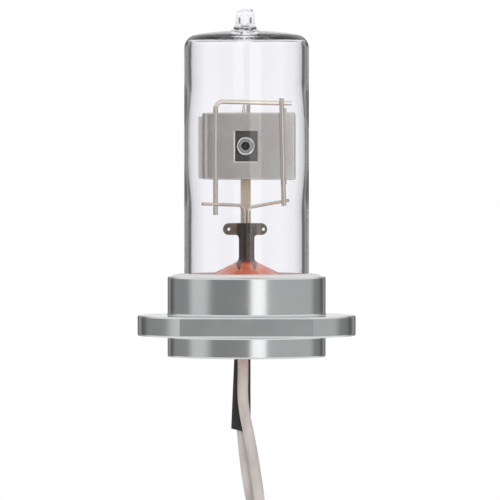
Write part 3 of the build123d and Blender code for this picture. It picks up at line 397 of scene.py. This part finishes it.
def extrudedInsulation():  # warm grey lead insulation: satin, lightly soiled by handling
    material, tree, surface, where = newMaterial(
        "extrudedInsulation", Roughness=0.42, Specular_IOR_Level=0.5)
    soil = addNode(tree, "ShaderNodeMapRange", {
        "Value": grain(tree, where, 3.0, detail=5, stretch=(1, 1, 0.4)), "From Min": 0.35, "From Max": 0.8},
        interpolation_type="SMOOTHSTEP")
    fine = grain(tree, where, 0.4, stretch=(1, 1, 0.2))
    clean = addNode(tree, "ShaderNodeMix", {
        "Factor": fine, "A": srgb("#d3ccc6"), "B": srgb("#e0dad4")}, 2, data_type="RGBA")
    colour = addNode(tree, "ShaderNodeMix", {
        "Factor": soil, "A": clean, "B": srgb("#bdb4ae")}, 2, data_type="RGBA")
    finishSurface(tree, surface, colour, fine, 0.12, 0.03)
    return material


def shrunkSleeve():  # black heat-shrink: soft sheen, with a few long creases
    material, tree, surface, where = newMaterial("shrunkSleeve", Roughness=0.5, Specular_IOR_Level=0.4)
    crease = grain(tree, where, 1.6, detail=4, stretch=(1, 1, 0.15))
    colour = addNode(tree, "ShaderNodeMix", {
        "Factor": crease, "A": srgb("#1f1c1b"), "B": srgb("#3d3835")}, 2, data_type="RGBA")
    finishSurface(tree, surface, colour, crease, 0.5, 0.15)
    return material


def mouldedNylon(name="mouldedNylon", dark="#dcd8cd", pale="#ebe8df"):  # nylon, satin with flow marks
    material, tree, surface, where = newMaterial(
        name, Roughness=0.4, Subsurface_Weight=0.1, Subsurface_Scale=0.5 * mm)
    flow = grain(tree, where, 2.5)
    colour = addNode(tree, "ShaderNodeMix", {
        "Factor": flow, "A": srgb(dark), "B": srgb(pale)}, 2, data_type="RGBA")
    finishSurface(tree, surface, colour, grain(tree, where, 0.2, detail=2), 0.1, 0.02)
    return material


def tinnedCopper():  # tin-plated contacts and crimps, bright and slightly uneven
    return rolledNickel("tinnedCopper", "#a5a29d", "#cbc8c3", "#b2aeaa", (1, 1, 1), 0.25)


materials = {
    "turned_aluminium": turnedAluminium(),
    "quartz_glass": quartzTube(),
    "stem_glass": smokedStem(),
    "red_silicone": castSilicone(),
    "nickel_sheet": rolledNickel(),
    "punched_nickel": punchedNickel(),
    "nickel_wire": drawnWire(),
    "cream_ceramic": firedCeramic(),
    # the sheet behind the window: its grey is painted darker for the shade there
    "dark_aperture": shadePaintedMolybdenum(),
    # pale copy of the aperture metal for the cup and funnel: painted highlight
    "bright_rim": highlightPaintedRim(),
    "baked_strap": bakedStrap(),
    "white_cement": pottingCement(),
    "oxide_tungsten": coatedTungsten(),
    "grey_lead": extrudedInsulation(),
    "tinned_copper": tinnedCopper(),
    "black_sleeve": shrunkSleeve(),
    "white_nylon": mouldedNylon(),
    "tie_nylon": mouldedNylon("blackTie", "#26241f", "#34312c"),
}
print("materials made,", len(materials))


# the CAD nodes keep their shapes and take the material of their slot, or one of their own

nodeSlots = {row["node"]: row["material_slot"] for row in frame["record"]["subparts"]}
nodeLooks = {
    # the cup and funnel wear bright_rim, a pale copy of their metal as painted highlight
    "aperture_cup": "bright_rim", "arc_funnel": "bright_rim", "anode_strap": "baked_strap",
    "front_shield": "punched_nickel",
}


def dressNodes():
    for name, node in frame["nodes"].items():
        material = materials[nodeLooks.get(name, nodeSlots[name])]
        for slot in node.material_slots:
            slot.material = material


dressNodes()


# turning: a profile of radius and height, swept round the axis

def lathe(profile, turns, closed):
    vertices, faces, rings = [], [], []
    for r, z in profile:
        ring = circle(r, turns) if r else [(0, 0)]
        rings.append(list(range(len(vertices), len(vertices) + len(ring))))
        vertices += [(x, y, z) for x, y in ring]
    pairs = list(zip(rings, rings[1:])) + ([(rings[-1], rings[0])] if closed else [])
    for low, high in pairs:
        if len(low) == len(high) == 1:
            continue
        for i in range(turns):
            j = (i + 1) % turns
            if len(high) == 1:
                faces.append((low[i], low[j], high[0]))
            elif len(low) == 1:
                faces.append((low[0], high[j], high[i]))
            else:
                faces.append((low[i], low[j], high[j], high[i]))
    return vertices, faces


# base: turned in one piece, milled flat on two sides and drilled for two screws, with every edge broken

base = {
    "low": -9.1, "high": 9.0, "collar": 17.75, "flange": 24.5, "flangeLow": -4.35, "flangeHigh": 0.3,
    "flat": 19.5, "bore": 10.5, "pocket": 14.25, "pocketFloor": -1.5, "screwX": 21.125, "screw": 1.7,
    "edge": 0.42, "edgeSteps": 2, "brokenFrom": 40, "sharpFrom": 20, "turns": 180,
    "cutterWidth": 80.0, "cutterSize": 20.0, "screwTurns": 48,
}


def cutAway(piece, cutter):
    cut = piece.modifiers.new("cut", "BOOLEAN")
    cut.operation, cut.solver, cut.object = "DIFFERENCE", "EXACT", cutter


def finished(piece, name):  # the evaluated shape as a plain mesh, without its modifiers
    bpy.context.view_layer.update()
    mesh = bpy.data.meshes.new_from_object(piece.evaluated_get(bpy.context.evaluated_depsgraph_get()))
    mesh.name = name
    done = bpy.data.objects.new(name, mesh)
    bpy.context.scene.collection.objects.link(done)
    bpy.data.objects.remove(piece)
    return done


def makeBase():
    b = base
    profile = [
        (b["bore"], b["low"]), (b["collar"], b["low"]), (b["collar"], b["flangeLow"]),
        (b["flange"], b["flangeLow"]), (b["flange"], b["flangeHigh"]), (b["collar"], b["flangeHigh"]),
        (b["collar"], b["high"]), (b["pocket"], b["high"]), (b["pocket"], b["pocketFloor"]),
        (b["bore"], b["pocketFloor"])]
    blank = finishMesh("blank", *lathe(profile, b["turns"], True))
    width, size = b["cutterWidth"] * mm, b["cutterSize"] * mm
    cutters = []
    for side in (-1, 1):
        bpy.ops.mesh.primitive_cube_add(size=1, location=(0, side * (b["flat"] * mm + size / 2), 0))
        slab = bpy.context.object
        slab.scale = (width, size, size)
        bpy.ops.mesh.primitive_cylinder_add(
            vertices=b["screwTurns"], radius=b["screw"] * mm, depth=size,
            location=(side * b["screwX"] * mm, 0, 0))
        cutters += [slab, bpy.context.object]
    for cutter in cutters:
        cutAway(blank, cutter)
    soften = blank.modifiers.new("soften", "BEVEL")
    soften.width, soften.segments, soften.limit_method = b["edge"] * mm, b["edgeSteps"], "ANGLE"
    soften.angle_limit, soften.use_clamp_overlap = radians(b["brokenFrom"]), False
    piece = finished(blank, "turned_base")
    for cutter in cutters:
        bpy.data.objects.remove(cutter)
    piece.data.set_sharp_from_angle(angle=radians(b["sharpFrom"]))  # below the 22.5 of a broken edge's steps
    return piece


basePiece = dress(makeBase(), materials["turned_aluminium"])
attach(basePiece, "root")
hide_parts("base_flange")
print("base made,", len(basePiece.data.polygons), "faces")


# cement: a pale bead that fills the collar's mouth and rises a little up the bulb

bead = {
    "inputs": {"Bulb radius": 13.96, "Bead width": 2.9, "Bead rise": 0.7, "Bead level": 8.95},
    "turns": 160, "steps": 48, "join": 0.001,
}


def beadTree(material):
    tree = bpy.data.node_groups.new("cementBead", "GeometryNodeTree")
    tree.interface.new_socket("Geometry", in_out="OUTPUT", socket_type="NodeSocketGeometry")
    sockets = {name: tree.interface.new_socket(name, in_out="INPUT", socket_type="NodeSocketFloat").identifier
               for name in bead["inputs"]}
    given = tree.nodes.new("NodeGroupInput").outputs
    sheet = addNode(tree, "GeometryNodeMeshGrid", {
        "Size X": 2 * pi, "Size Y": 2 * pi, "Vertices X": bead["turns"] + 1, "Vertices Y": bead["steps"] + 1})
    position = addNode(tree, "GeometryNodeInputPosition")
    place = addNode(tree, "ShaderNodeSeparateXYZ", {"Vector": position}).node.outputs
    turn, swing = place["X"], place["Y"]
    out = addNode(tree, "ShaderNodeMath", {0: swing}, operation="SINE")
    out = addNode(tree, "ShaderNodeMath", {0: out, 1: 0.0}, operation="MAXIMUM")
    up = addNode(tree, "ShaderNodeMath", {0: swing}, operation="COSINE")
    radius = addNode(tree, "ShaderNodeMath", {
        0: out, 1: given["Bead width"], 2: given["Bulb radius"]}, operation="MULTIPLY_ADD")
    height = addNode(tree, "ShaderNodeMath", {
        0: up, 1: given["Bead rise"], 2: given["Bead level"]}, operation="MULTIPLY_ADD")
    across = []
    for wave in ("COSINE", "SINE"):
        share = addNode(tree, "ShaderNodeMath", {0: turn}, operation=wave)
        across.append(addNode(tree, "ShaderNodeMath", {0: share, 1: radius}, operation="MULTIPLY"))
    moved = addNode(tree, "ShaderNodeCombineXYZ", {"X": across[0], "Y": across[1], "Z": height})
    scaled = addNode(tree, "ShaderNodeVectorMath", {0: moved, "Scale": mm}, operation="SCALE")
    shaped = addNode(tree, "GeometryNodeSetPosition", {"Geometry": sheet, "Position": scaled})
    merged = addNode(tree, "GeometryNodeMergeByDistance", {"Geometry": shaped, "Distance": bead["join"] * mm})
    real = addNode(tree, "GeometryNodeRealizeInstances", {0: merged})
    addNode(tree, "GeometryNodeSetMaterial", {"Geometry": real, "Material": material},
            to=tree.nodes.new("NodeGroupOutput").inputs[0])
    return tree, sockets


def makeBead():
    start = finishMesh("bead", [], [])
    tree, sockets = beadTree(materials["white_cement"])
    layout = start.modifiers.new("layout", "NODES")
    layout.node_group = tree
    for name, identifier in sockets.items():
        layout[identifier] = bead["inputs"][name]
    piece = finished(start, "cement_bead")
    piece.data.polygons.foreach_set("use_smooth", [True] * len(piece.data.polygons))
    return piece


beadPiece = dress(makeBead(), materials["white_cement"])
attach(beadPiece, "root")
print("cement made")


# bulb: a lathed quartz tube, thinner in front of the electrodes, with its sealed tip

bulb = {
    "radius": 14.0, "bore": 12.5, "foot": -0.3, "edge": 0.04, "turns": 192,
    "wallLow": 2.0, "wallHigh": 59.0, "boreLow": 0.0,
    "windowBore": 13.25, "windowLow": 35.0, "windowHigh": 41.0, "frontTaper": 16.0, "sideTaper": 13.0,
    "shoulder": 3.2, "shoulderTurn": 85, "domeEdge": 63.35, "domeTop": 64.0,
    "domeStart": 10.5, "domeStartRise": 0.13, "crown": 6.5, "crownDrop": 0.01, "saddle": (5.5, 4.4),
    "ceiling": 61.7, "corner": 0.8, "cornerGap": 0.2,
    "tipX": -0.36, "tipTop": 69.0, "tipRadius": 2.1, "tipEnd": 2.0, "tipRound": 1.5, "tipGap": 0.1,
    "tipFoot": 2.6, "tipFootTop": 66.3, "tipFootTurn": 240, "tipFootGap": 0.4, "tipFlat": 0.25,
    "tipBore": 1.05, "tipBoreTop": 67.6, "tipBoreRound": 0.7, "tipBoreGap": 1.0, "mouthRound": 0.8,
    "leanRise": 2.2, "leanReach": 9.0,
    "nubOffset": 1.35, "nubHeight": 68.6, "nubRadius": 0.4,
}


def arcPoints(centre, radius, start, end, steps):
    turn = [radians(start + (end - start) * i / steps) for i in range(steps + 1)]
    return [(centre[0] + radius * cos(angle), centre[1] + radius * sin(angle)) for angle in turn]


def evenRun(start, end, steps):
    return [(start[0] + (end[0] - start[0]) * i / steps, start[1] + (end[1] - start[1]) * i / steps)
            for i in range(steps + 1)]


def bulbOutside():
    b = bulb
    tipShoulder = b["tipTop"] - b["tipRound"]
    return [
        (b["radius"], b["foot"]), (b["radius"], b["foot"] + b["edge"]),
        *evenRun((b["radius"], b["wallLow"]), (b["radius"], b["wallHigh"]), steps=19),
        *arcPoints((b["radius"] - b["shoulder"], b["domeEdge"] - b["shoulder"]), b["shoulder"],
                   0, b["shoulderTurn"], steps=20),
        *evenRun((b["domeStart"], b["domeEdge"] + b["domeStartRise"]),
                 (b["crown"], b["domeTop"] - b["crownDrop"]), steps=6),
        *[(radius, b["domeTop"]) for radius in b["saddle"]],
        *arcPoints((b["tipRadius"] + b["tipFoot"], b["tipFootTop"]), b["tipFoot"],
                   b["tipFootTurn"], 180, steps=14),
        *evenRun((b["tipRadius"], b["tipFootTop"] + b["tipFootGap"]),
                 (b["tipEnd"], tipShoulder - b["tipGap"]), steps=3),
        *arcPoints((b["tipEnd"] - b["tipRound"], tipShoulder), b["tipRound"], 0, 90, steps=28),
        (b["tipFlat"], b["tipTop"]), (0, b["tipTop"])]


def bulbInside():
    b = bulb
    tipRound = b["tipBore"] * b["tipBoreRound"]
    mouth = b["mouthRound"]
    return [
        (0, b["tipBoreTop"]),
        *arcPoints((b["tipBore"] - tipRound, b["tipBoreTop"] - tipRound), tipRound, 90, 0, steps=8),
        *evenRun((b["tipBore"], b["tipBoreTop"] - b["tipBoreGap"]),
                 (b["tipBore"], b["ceiling"] + b["tipBoreGap"]), steps=6),
        *arcPoints((b["tipBore"] + mouth, b["ceiling"] + mouth), mouth, 180, 270, steps=8),
        *evenRun((b["tipBore"] + b["tipBoreGap"], b["ceiling"]),
                 (b["bore"] - b["corner"] - b["cornerGap"], b["ceiling"]), steps=10),
        *arcPoints((b["bore"] - b["corner"], b["ceiling"] - b["corner"]), b["corner"], 90, 0, steps=10),
        *evenRun((b["bore"], b["ceiling"] - b["corner"] - b["cornerGap"]),
                 (b["bore"], b["boreLow"]), steps=76),
        (b["bore"], b["foot"] + b["edge"]), (b["bore"], b["foot"])]


def eased(t):
    t = min(max(t, 0), 1)
    return t * t * (3 - 2 * t)


def blownWider(x, y, z):  # the bore opens by the electrodes, slower at front and back than at the sides
    radius = (x * x + y * y) ** 0.5
    taper = bulb["sideTaper"] + (bulb["frontTaper"] - bulb["sideTaper"]) * (y / radius) ** 2
    share = eased((z - bulb["windowLow"] + taper) / taper) * eased((bulb["windowHigh"] + taper - z) / taper)
    grow = 1 + (bulb["windowBore"] / bulb["bore"] - 1) * share
    return x * grow, y * grow, z


def withNub(x, y, z):  # the bead left where the flame sealed the tip
    centre = (bulb["tipX"] + bulb["nubOffset"], 0, bulb["nubHeight"])
    away = [c - m for c, m in zip((x, y, z), centre)]
    reach = sum(c * c for c in away) ** 0.5
    if reach >= bulb["nubRadius"]:
        return x, y, z
    return tuple(m + c * bulb["nubRadius"] / reach for c, m in zip(away, centre))


def makeBulb():
    vertices, faces = lathe(bulbOutside() + bulbInside(), bulb["turns"], True)
    slack = 0.001  # how near to the bore's radius a point still counts as on it
    shaped = []
    for x, y, z in vertices:
        radius = (x * x + y * y) ** 0.5
        if abs(radius - bulb["bore"]) < slack:
            x, y, z = blownWider(x, y, z)
        lean = eased((z - bulb["ceiling"]) / bulb["leanRise"]) * max(0, 1 - (radius / bulb["leanReach"]) ** 2)
        x += bulb["tipX"] * lean
        if z > bulb["tipFootTop"] and radius > bulb["tipBore"] + 10 * slack:
            x, y, z = withNub(x, y, z)
        shaped.append((x, y, z))
    return finishMesh("quartz_bulb", shaped, faces)


bulbPiece = dress(makeBulb(), materials["quartz_glass"])
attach(bulbPiece, "root")
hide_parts("glass_bulb")
print("bulb made")


# filling: cast silicone that wets the inside of the stem, so no air shows between them

filling = {
    "low": -7.6, "radius": 10.45, "edge": 0.3, "seat": -1.45, "skirt": 11.42, "skirtEdge": 0.1,
    "columnFoot": 12.5, "columnRadius": 1.75, "coneAngle": 26.0, "stemWall": 0.9, "wetting": 0.05,
    "rings": (9, 7, 5, 3, 1), "tip": 0.6, "turns": 128,
}


def insideStem(radius):
    f = filling
    slope = radians(f["coneAngle"])
    outer = f["columnFoot"] - (radius - f["columnRadius"]) * tan(slope)
    return outer - f["stemWall"] / cos(slope) + f["wetting"]


def makeFilling():
    f = filling
    profile = [
        (0, f["low"]), (f["radius"] - f["edge"], f["low"]), (f["radius"], f["low"] + f["edge"]),
        (f["radius"], f["seat"]), (f["skirt"], f["seat"]),
        (f["skirt"], insideStem(f["skirt"]) - f["skirtEdge"])]
    profile += [(radius, insideStem(radius)) for radius in (f["skirt"] - f["skirtEdge"], *f["rings"])]
    profile.append((0, insideStem(f["tip"])))
    return finishMesh("cast_filling", *lathe(profile, f["turns"], False))


fillingPiece = dress(makeFilling(), materials["red_silicone"])
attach(fillingPiece, "root")
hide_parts("silicone_filling")
print("filling made")


# the leads ride on the base and stand for their tubes and the hank

leadNodes = {"front": ["front_lead", "lead_hank"], "middle": ["sleeved_lead"], "rear": ["rear_lead"]}


def hangLeads():
    for name, piece in leads.items():
        dress(piece, materials["grey_lead"])
        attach(piece, "root")
        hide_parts(*leadNodes[name])


hangLeads()


# studio: a white room, a softbox at the front right and a dim surround that only reflections show

surround = {  # each level is an azimuth from the camera's side, to the right, and the brightness there
    "radius": 1100.0, "low": -500.0, "high": 3000.0, "fadeLow": 180.0, "fadeHigh": 480.0, "turns": 96,
    "levels": [
        (-180, 1.0), (-175, 1.0), (-171, 0.1), (-162, 0.12), (-157, 0.42), (-151, 0.4), (-146, 0.1),
        (-137, 0.12), (-128, 0.33), (-95, 0.33), (-84, 0.75), (-63, 0.75), (-50, 0.3), (-2, 0.31), (4, 0.34),
        (24, 0.34), (32, 0.56), (108, 0.56), (116, 0.28), (133, 0.25), (139, 0.1), (146, 0.1), (151, 0.4),
        (157, 0.42), (162, 0.12), (171, 0.1), (175, 1.0), (180, 1.0)],
}
softbox = {
    "azimuth": 17.0, "halfWidth": 11.0, "distance": 900.0, "height": 700.0, "level": 15.0, "radiance": 1.1,
}
room = {"light": 0.78, "blue": 0.7878}
floorDisc = {  # lift is added where the camera sees the floor, which keeps its shadow
    "radius": 330.0, "fadeFrom": 130.0, "fadeTo": 323.4, "gap": 0.5, "turns": 96, "lift": 0.25,
}
white = (1, 1, 1, 1)


def surroundPaper():  # shows only in what something reflects, and is clear to every other ray
    material = bpy.data.materials.new("surroundPaper")
    material.use_nodes = True
    tree = material.node_tree
    tree.nodes.remove(tree.nodes["Principled BSDF"])
    where = addNode(tree, "ShaderNodeTexCoord", output="Object")
    x, y, z = addNode(tree, "ShaderNodeSeparateXYZ", {"Vector": where}).node.outputs
    ahead = addNode(tree, "ShaderNodeMath", {0: y, 1: -1.0}, operation="MULTIPLY")
    azimuth = addNode(tree, "ShaderNodeMath", {0: x, 1: ahead}, operation="ARCTAN2")
    share = addNode(tree, "ShaderNodeMapRange", {"Value": azimuth, "From Min": -pi, "From Max": pi})
    ramp = addNode(tree, "ShaderNodeValToRGB", {0: share})
    stops = ramp.node.color_ramp.elements
    while len(stops) > 1:
        stops.remove(stops[-1])
    for index, (angle, level) in enumerate(surround["levels"]):
        stop = stops[0] if index == 0 else stops.new((angle + 180) / 360)
        stop.position = (angle + 180) / 360
        stop.color = (level, level, level, 1)
    offLevel = addNode(tree, "ShaderNodeMath", {0: z}, operation="ABSOLUTE")
    faded = addNode(tree, "ShaderNodeMapRange", {
        "Value": offLevel, "From Min": surround["fadeLow"] * mm, "From Max": surround["fadeHigh"] * mm},
        interpolation_type="SMOOTHSTEP")
    shade = addNode(tree, "ShaderNodeMix", {"Factor": faded, "A": ramp, "B": white}, 2, data_type="RGBA")
    bounces = addNode(tree, "ShaderNodeLightPath", output="Glossy Depth")
    mirrored = addNode(tree, "ShaderNodeMath", {0: bounces, 1: 0.5}, operation="GREATER_THAN")
    clear = addNode(tree, "ShaderNodeBsdfTransparent")
    glow = addNode(tree, "ShaderNodeEmission", {"Color": shade, "Strength": 1.0})
    addNode(tree, "ShaderNodeMixShader", {0: mirrored, 1: clear, 2: glow},
            to=tree.nodes["Material Output"].inputs["Surface"])
    return material


def makeSurround():
    turns = surround["turns"]
    ring = circle(surround["radius"], turns)
    vertices = [(x, y, surround[level]) for level in ("low", "high") for x, y in ring]
    faces = [(i, i + turns, (i + 1) % turns + turns, (i + 1) % turns) for i in range(turns)]
    piece = finishMesh("surround", vertices, faces, False)
    piece.data.materials.append(surroundPaper())
    piece.visible_camera = piece.visible_diffuse = piece.visible_shadow = False


def makeSoftbox():
    data = bpy.data.lights.new("softbox", "AREA")
    data.shape = "RECTANGLE"
    data.size = 2 * softbox["distance"] * tan(radians(softbox["halfWidth"])) * mm
    data.size_y = softbox["height"] * mm
    data.energy = softbox["radiance"] * data.size * data.size_y * pi
    light = bpy.data.objects.new("softbox", data)
    bpy.context.scene.collection.objects.link(light)
    a = radians(softbox["azimuth"])
    light.location = (
        softbox["distance"] * sin(a) * mm, -softbox["distance"] * cos(a) * mm, softbox["level"] * mm)
    light.rotation_euler = (pi / 2, 0, a)
    light.visible_camera = False


def makeRoom():  # white where it is seen, in metal or through glass too, and softer where it lights the lamp
    world = bpy.data.worlds.new("studio")
    bpy.context.scene.world = world
    world.use_nodes = True
    tree = world.node_tree
    path = addNode(tree, "ShaderNodeLightPath").node.outputs
    direct = addNode(tree, "ShaderNodeMath", {0: path["Diffuse Depth"], 1: 0.5}, operation="LESS_THAN")
    through = addNode(tree, "ShaderNodeMath", {
        0: path["Is Transmission Ray"], 1: direct}, operation="MULTIPLY")
    seen = addNode(tree, "ShaderNodeMath", {
        0: path["Is Camera Ray"], 1: path["Is Glossy Ray"]}, operation="MAXIMUM")
    seen = addNode(tree, "ShaderNodeMath", {0: seen, 1: through}, operation="MAXIMUM")
    soft = (room["light"], room["light"], room["blue"], 1)
    addNode(tree, "ShaderNodeMix", {"Factor": seen, "A": soft, "B": white}, 2,
            to=tree.nodes["Background"].inputs["Color"], data_type="RGBA")


def paleFloor():  # white where it is seen through glass or in metal, and at its rim, so that it has no edge
    material, tree, surface, where = newMaterial(
        "paleFloor", Base_Color=srgb("#f4f4f4"), Roughness=0.7, Emission_Color=white)
    path = addNode(tree, "ShaderNodeLightPath").node.outputs
    addNode(tree, "ShaderNodeMath", {0: path["Is Camera Ray"], 1: floorDisc["lift"]},
            to=surface["Emission Strength"], operation="MULTIPLY")
    away = addNode(tree, "ShaderNodeVectorMath", {0: where}, "Value", operation="LENGTH")
    rim = addNode(tree, "ShaderNodeMapRange", {
        "Value": away, "From Min": floorDisc["fadeFrom"] * mm, "From Max": floorDisc["fadeTo"] * mm},
        interpolation_type="SMOOTHSTEP")
    seen = addNode(tree, "ShaderNodeMath", {
        0: path["Is Glossy Ray"], 1: path["Is Transmission Ray"]}, operation="MAXIMUM")
    seen = addNode(tree, "ShaderNodeMath", {0: seen, 1: rim}, operation="MAXIMUM")
    glow = addNode(tree, "ShaderNodeEmission", {"Color": white, "Strength": 1.0})
    addNode(tree, "ShaderNodeMixShader", {0: seen, 1: tree.nodes["Principled BSDF"].outputs[0], 2: glow},
            to=tree.nodes["Material Output"].inputs["Surface"])
    return material


def makeFloor():
    level = cadBox[0][2] / mm - floorDisc["gap"]
    rim = [(x, y, level) for x, y in circle(floorDisc["radius"], floorDisc["turns"])]
    floor = finishMesh("floor", rim, [tuple(range(len(rim)))], False)
    floor.data.materials.append(paleFloor())


makeSurround()
makeSoftbox()
makeRoom()
makeFloor()
bpy.context.scene.view_settings.view_transform = "Standard"
print("studio made")
